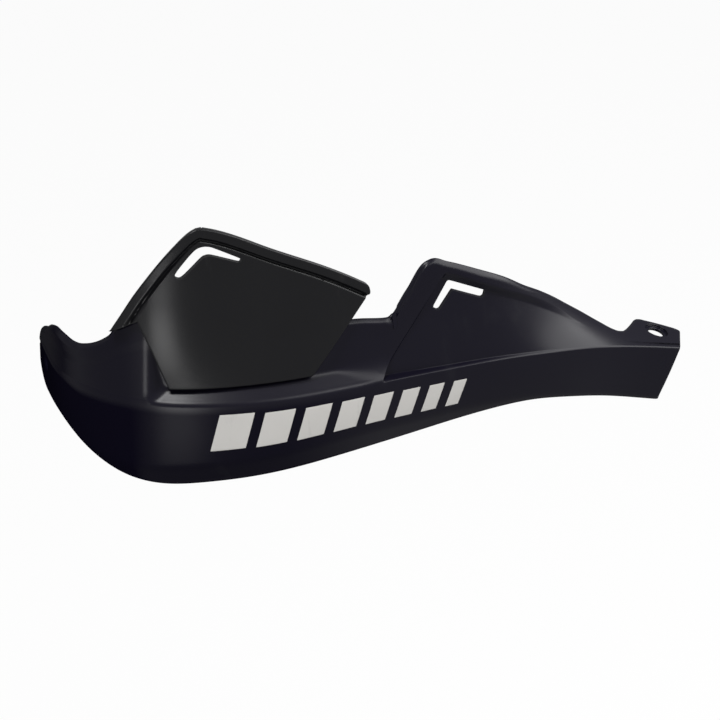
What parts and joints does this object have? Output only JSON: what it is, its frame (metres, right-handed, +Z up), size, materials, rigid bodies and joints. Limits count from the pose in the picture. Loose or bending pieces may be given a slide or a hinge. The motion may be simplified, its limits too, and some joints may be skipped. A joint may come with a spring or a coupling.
{
  "type": "motorcycle hand guard",
  "caption": "Wrap-around plastic hand guard with a raked upper wall, a vented screwed panel, a bar-end bolt hole and a drilled inner tab.",
  "frame": {"origin": "centre of the bar-end bolt hole on the outer face of the end plate", "axes": "+X inboard along the handlebar, +Y back to the rider, +Z up; the bar-end hole runs along X"},
  "size_m": [0.3402, 0.109, 0.1409],
  "materials": {
    "shell_plastic": "bluish black, satin gloss moulding",
    "panel_plastic": "dark grey, fine matt grain",
    "screw_steel": "black coated steel"
  },
  "bodies": {
    "root": {"guard_shell": "shell_plastic", "vent_panel": "panel_plastic", "panel_screws": "screw_steel"}
  },
  "joints": []
}
